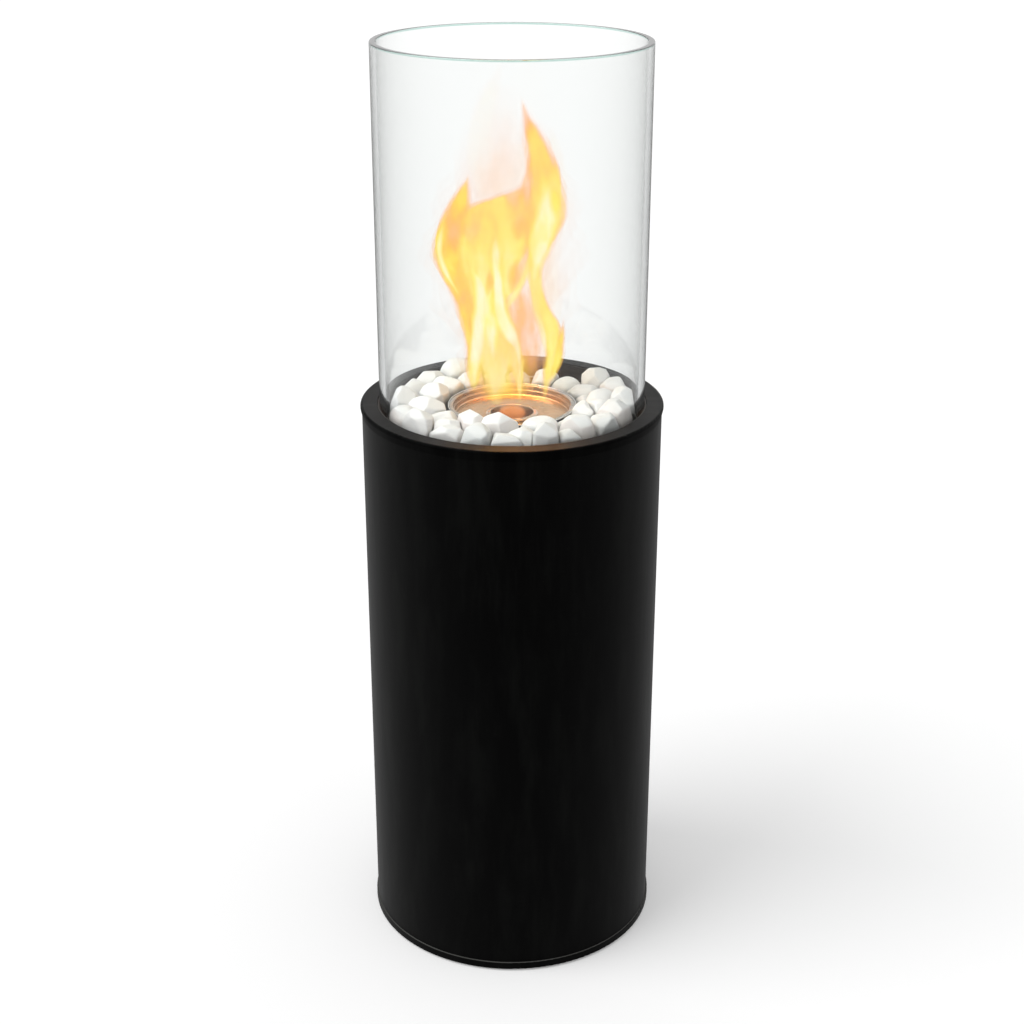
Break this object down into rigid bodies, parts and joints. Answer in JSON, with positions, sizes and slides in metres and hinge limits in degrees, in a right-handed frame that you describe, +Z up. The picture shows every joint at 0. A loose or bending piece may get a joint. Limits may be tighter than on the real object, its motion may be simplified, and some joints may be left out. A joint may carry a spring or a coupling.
{
  "type": "ventless fireplace",
  "caption": "Free-standing ventless fireplace: matt black steel column, collar, tray of white stones, lift-out fuel burner and an open glass chimney that lifts off.",
  "frame": {"origin": "on the floor under the middle of the round base", "axes": "+Z up along the column's axis, -Y towards the viewer of the reference picture, +X to the viewer's right"},
  "size_m": [0.3, 0.3, 0.922],
  "materials": {
    "black_coat": "matt black powder coat",
    "black_enamel": "satin black heat-proof enamel",
    "zinc_steel": "zinc plated",
    "burner_steel": "pressed stainless steel, heat tinted",
    "clear_glass": "clear tempered glass with polished edges",
    "white_stone": "tumbled white stone",
    "gasket_fibre": "woven glass fibre",
    "ceramic_wool": "matted ceramic fibre",
    "pad_rubber": "matt rubber"
  },
  "bodies": {
    "column": {"foot_pads": "pad_rubber", "base_disc": "black_coat", "base_screws": "zinc_steel", "base_nuts": "zinc_steel", "column_shell": "black_coat", "collar_ring": "black_coat", "tray_seat_ring": "zinc_steel", "collar_screws": "zinc_steel"},
    "tray": {"fire_tray": "black_enamel", "glass_gasket": "gasket_fibre", "stone_01": "white_stone", "stone_02": "white_stone", "stone_03": "white_stone", "stone_04": "white_stone", "stone_05": "white_stone", "stone_06": "white_stone", "stone_07": "white_stone", "stone_08": "white_stone", "stone_09": "white_stone", "stone_10": "white_stone", "stone_11": "white_stone", "stone_12": "white_stone", "stone_13": "white_stone", "stone_14": "white_stone", "stone_15": "white_stone", "stone_16": "white_stone", "stone_17": "white_stone", "stone_18": "white_stone", "stone_19": "white_stone", "stone_20": "white_stone", "stone_21": "white_stone", "stone_22": "white_stone", "stone_23": "white_stone", "stone_24": "white_stone", "stone_25": "white_stone", "stone_26": "white_stone", "stone_27": "white_stone", "stone_28": "white_stone", "stone_29": "white_stone", "stone_30": "white_stone", "stone_31": "white_stone", "stone_32": "white_stone", "stone_33": "white_stone", "stone_34": "white_stone", "stone_35": "white_stone", "stone_36": "white_stone", "stone_37": "white_stone"},
    "glass": {"glass_chimney": "clear_glass"},
    "burner": {"burner_cup": "burner_steel", "burner_dish": "burner_steel", "mouth_ring": "burner_steel", "fuel_cup": "burner_steel", "wick_wool": "ceramic_wool", "wool_gauze": "burner_steel"}
  },
  "joints": [
    {"name": "tray_lift", "type": "slide", "parent": "column", "child": "tray", "axis": [0, 0, 1], "range_m": [0, 0.1]},
    {"name": "glass_lift", "type": "slide", "parent": "tray", "child": "glass", "axis": [0, 0, 1], "range_m": [0, 0.06]},
    {"name": "burner_lift", "type": "slide", "parent": "tray", "child": "burner", "axis": [0, 0, 1], "range_m": [0, 0.11]}
  ]
}
